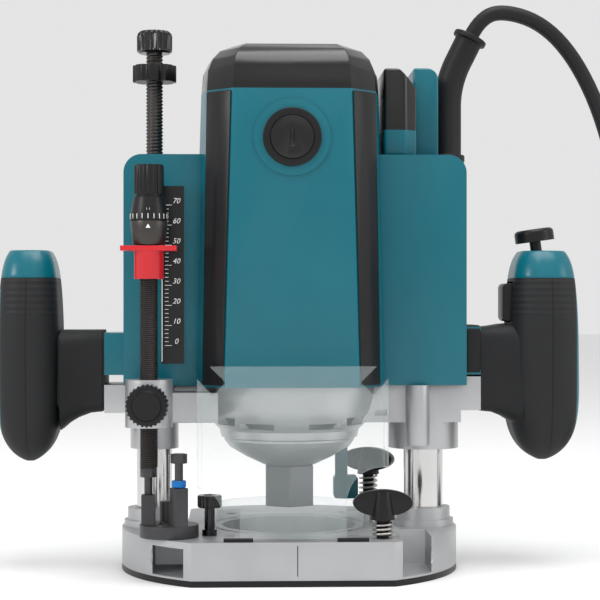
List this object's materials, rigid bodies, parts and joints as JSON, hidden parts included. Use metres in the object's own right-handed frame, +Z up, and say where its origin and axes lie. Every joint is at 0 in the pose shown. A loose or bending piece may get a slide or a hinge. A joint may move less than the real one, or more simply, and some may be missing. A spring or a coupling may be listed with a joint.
{
  "type": "plunge router",
  "caption": "Electric plunge router with a D-shaped base, guide columns, side handles, depth stop with turret, clear chip guards and a coiled cord.",
  "frame": {"origin": "on the spindle axis in the plane of the sole", "axes": "+Z up along the spindle, -Y towards the operator and the flat front of the base, +X towards the handle with the trigger"},
  "size_m": [0.503, 0.1892, 0.292],
  "materials": {
    "sole_plate": "smooth black phenolic sole",
    "sole_screws": "zinc plated",
    "base_casting": "silver grey painted cast aluminium",
    "left_column": "ground and chromed",
    "right_column": "ground and chromed",
    "upper_limit_rod": "threaded steel",
    "rod_knob": "black moulded knob",
    "limit_nut": "black nylon",
    "left_plunge_spring": "spring steel",
    "right_plunge_spring": "spring steel",
    "stopper_block": "black cast zinc",
    "turret_pivot_screw": "blackened steel",
    "low_stop_screw": "zinc plated",
    "high_stop_screw": "zinc plated",
    "thumb_screw": "black knurled head",
    "front_wing_screw": "black moulded wings",
    "rear_wing_screw": "black moulded wings",
    "wing_springs": "spring steel",
    "shield_seats": "black rubber",
    "chip_shield": "clear polycarbonate",
    "chip_ring": "clear polycarbonate",
    "motor_bracket": "die cast, bead blasted",
    "column_bushes": "oil filled bronze",
    "stop_pole": "fine threaded steel",
    "pole_knob": "black moulded knob with white marks",
    "depth_pointer": "red moulded",
    "pole_clamp_nut": "black knurled nut",
    "lock_lever": "teal moulded tip on steel",
    "motor_housing": "teal glass filled nylon",
    "housing_screws": "blackened",
    "top_cover": "black textured",
    "side_trims": "black textured",
    "switch_box": "black textured",
    "cord_box": "teal glass filled nylon",
    "scale_plate": "black plate with white scale",
    "brush_cap_rings": "black",
    "brush_caps": "black",
    "brush_holders": "brass in plastic",
    "carbon_brushes": "carbon",
    "field_stator": "laminated steel and copper coils",
    "spindle_bearings": "sealed ball bearings",
    "column_covers": "teal glass filled nylon",
    "spindle": "ground steel",
    "armature": "laminated steel and copper windings",
    "commutator": "copper bars",
    "cooling_fan": "moulded fan",
    "collet_cone": "hardened steel",
    "collet_nut": "hardened steel",
    "left_grip": "black soft grip with teal shell",
    "right_grip": "black soft grip with teal shell",
    "grip_caps": "teal shell ends",
    "switch_module": "switch case",
    "switch_trigger": "black moulded",
    "lock_button": "black moulded",
    "cord_guard": "black rubber",
    "cord_lead": "black rubber cable",
    "cord_coil": "black rubber cable",
    "cord_tail": "black rubber cable",
    "plug": "black moulded plug, nickel pins",
    "shaft_lock_button": "black moulded"
  },
  "bodies": {
    "base": {"sole_plate": "sole_plate", "sole_screws": "sole_screws", "base_casting": "base_casting", "left_column": "left_column", "right_column": "right_column", "upper_limit_rod": "upper_limit_rod", "rod_knob": "rod_knob", "left_plunge_spring": "left_plunge_spring", "right_plunge_spring": "right_plunge_spring", "turret_pivot_screw": "turret_pivot_screw", "wing_springs": "wing_springs", "shield_seats": "shield_seats", "chip_shield": "chip_shield", "chip_ring": "chip_ring", "cord_coil": "cord_coil", "cord_tail": "cord_tail", "plug": "plug"},
    "motor": {"motor_bracket": "motor_bracket", "column_bushes": "column_bushes", "motor_housing": "motor_housing", "housing_screws": "housing_screws", "top_cover": "top_cover", "side_trims": "side_trims", "switch_box": "switch_box", "cord_box": "cord_box", "scale_plate": "scale_plate", "brush_cap_rings": "brush_cap_rings", "brush_caps": "brush_caps", "brush_holders": "brush_holders", "carbon_brushes": "carbon_brushes", "field_stator": "field_stator", "spindle_bearings": "spindle_bearings", "column_covers": "column_covers", "left_grip": "left_grip", "right_grip": "right_grip", "grip_caps": "grip_caps", "switch_module": "switch_module", "cord_guard": "cord_guard", "cord_lead": "cord_lead"},
    "rotor": {"spindle": "spindle", "armature": "armature", "commutator": "commutator", "cooling_fan": "cooling_fan", "collet_cone": "collet_cone"},
    "collet_nut": {"collet_nut": "collet_nut"},
    "turret": {"stopper_block": "stopper_block"},
    "low_stop_screw": {"low_stop_screw": "low_stop_screw"},
    "high_stop_screw": {"high_stop_screw": "high_stop_screw"},
    "thumb_screw": {"thumb_screw": "thumb_screw"},
    "front_wing_screw": {"front_wing_screw": "front_wing_screw"},
    "rear_wing_screw": {"rear_wing_screw": "rear_wing_screw"},
    "limit_nut": {"limit_nut": "limit_nut"},
    "stop_pole": {"stop_pole": "stop_pole"},
    "pole_knob": {"pole_knob": "pole_knob"},
    "depth_pointer": {"depth_pointer": "depth_pointer"},
    "pole_clamp_nut": {"pole_clamp_nut": "pole_clamp_nut"},
    "lock_lever": {"lock_lever": "lock_lever"},
    "switch_trigger": {"switch_trigger": "switch_trigger"},
    "lock_button": {"lock_button": "lock_button"},
    "shaft_lock_button": {"shaft_lock_button": "shaft_lock_button"}
  },
  "joints": [
    {"name": "plunge", "type": "slide", "parent": "base", "child": "motor", "axis": [0, 0, 1], "range_m": [0, 0.038], "deforming": ["left_plunge_spring", "right_plunge_spring", "cord_lead"]},
    {"name": "spindle_spin", "type": "hinge", "parent": "motor", "child": "rotor", "pos_m": [0, 0, 0.1], "axis": [0, 0, 1], "range_deg": [-180, 180]},
    {"name": "collet_nut_turn", "type": "hinge", "parent": "rotor", "child": "collet_nut", "pos_m": [0, 0, 0.04], "axis": [0, 0, 1], "range_deg": [-180, 180]},
    {"name": "turret_turn", "type": "hinge", "parent": "base", "child": "turret", "pos_m": [-0.0595, -0.046, 0.024], "axis": [0, 0, 1], "range_deg": [-60, 180]},
    {"name": "low_stop_turn", "type": "hinge", "parent": "turret", "child": "low_stop_screw", "pos_m": [-0.0695, -0.046, 0.04], "axis": [0, 0, 1], "range_deg": [-180, 180]},
    {"name": "high_stop_turn", "type": "hinge", "parent": "turret", "child": "high_stop_screw", "pos_m": [-0.0545, -0.05466, 0.045], "axis": [0, 0, 1], "range_deg": [-180, 180]},
    {"name": "thumb_screw_turn", "type": "hinge", "parent": "base", "child": "thumb_screw", "pos_m": [-0.04, -0.042, 0.03], "axis": [0, 0, 1], "range_deg": [-180, 180]},
    {"name": "front_wing_turn", "type": "hinge", "parent": "base", "child": "front_wing_screw", "pos_m": [0.0434, -0.055, 0.03], "axis": [0, 0, 1], "range_deg": [-180, 180]},
    {"name": "rear_wing_turn", "type": "hinge", "parent": "base", "child": "rear_wing_screw", "pos_m": [0.0445, 0.055, 0.04], "axis": [0, 0, 1], "range_deg": [-180, 180]},
    {"name": "limit_nut_turn", "type": "hinge", "parent": "base", "child": "limit_nut", "pos_m": [-0.0687, 0, 0.25], "axis": [0, 0, 1], "range_deg": [-180, 180]},
    {"name": "stop_pole_slide", "type": "slide", "parent": "motor", "child": "stop_pole", "axis": [0, 0, 1], "range_m": [0, 0.028]},
    {"name": "pole_knob_turn", "type": "hinge", "parent": "stop_pole", "child": "pole_knob", "pos_m": [-0.0693, -0.045, 0.18], "axis": [0, 0, 1], "range_deg": [-180, 180]},
    {"name": "pointer_slide", "type": "slide", "parent": "stop_pole", "child": "depth_pointer", "axis": [0, 0, 1], "range_m": [-0.045, 0]},
    {"name": "pole_clamp_turn", "type": "hinge", "parent": "motor", "child": "pole_clamp_nut", "pos_m": [-0.0693, -0.06, 0.0853], "axis": [0, 1, 0], "range_deg": [-180, 180]},
    {"name": "lock_lever_turn", "type": "hinge", "parent": "motor", "child": "lock_lever", "pos_m": [0.028, 0.037, 0.072], "axis": [0, 1, 0], "range_deg": [-20, 4]},
    {"name": "trigger_press", "type": "slide", "parent": "motor", "child": "switch_trigger", "axis": [1, 0, 0], "range_m": [0, 0.004], "stiffness_N_per_m": 900},
    {"name": "lock_button_press", "type": "slide", "parent": "motor", "child": "lock_button", "axis": [0.1392, 0, -0.9903], "range_m": [0, 0.003], "stiffness_N_per_m": 700},
    {"name": "shaft_lock_press", "type": "slide", "parent": "motor", "child": "shaft_lock_button", "axis": [0, -1, 0], "range_m": [0, 0.003], "stiffness_N_per_m": 800}
  ]
}
